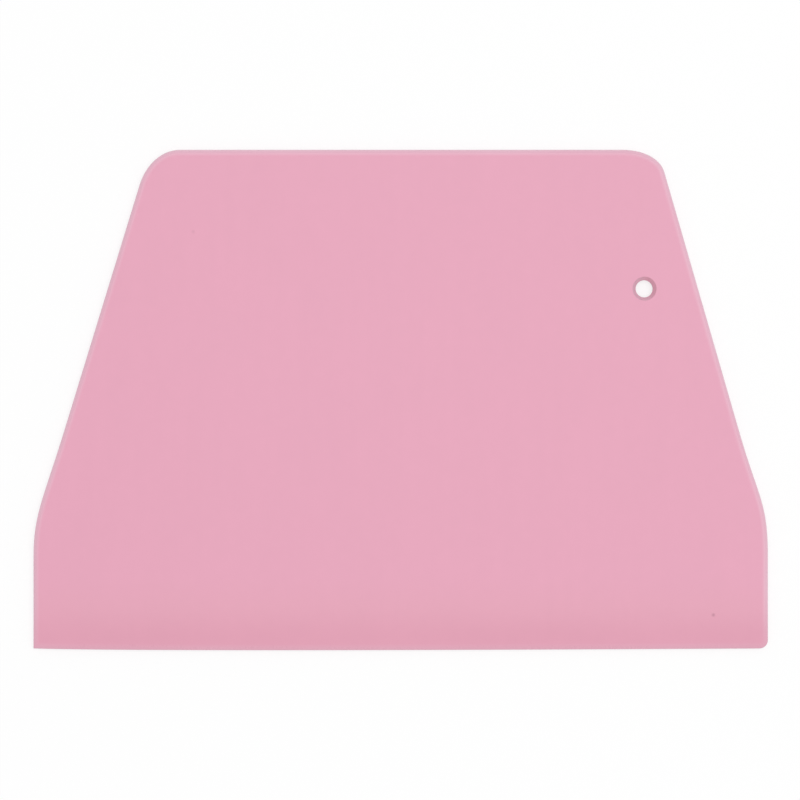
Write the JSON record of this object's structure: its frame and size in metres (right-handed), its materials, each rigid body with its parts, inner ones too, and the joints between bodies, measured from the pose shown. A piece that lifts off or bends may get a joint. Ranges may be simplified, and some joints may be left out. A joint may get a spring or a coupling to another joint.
{
  "type": "dough scraper",
  "caption": "Flat trapezoid dough scraper moulded in pink plastic, thinning to a wide working edge, with rounded grip corners and a small hanging hole.",
  "frame": {"origin": "middle of the outline's bounding rectangle, on the back face that the scraper lies on", "axes": "+X along the working edge to the right, +Y from the working edge towards the grip edge, +Z out of the front face"},
  "size_m": [0.15, 0.1022, 0.002],
  "materials": {
    "pink_plastic": "satin"
  },
  "bodies": {
    "root": {"scraper_plate": "pink_plastic"}
  },
  "joints": []
}
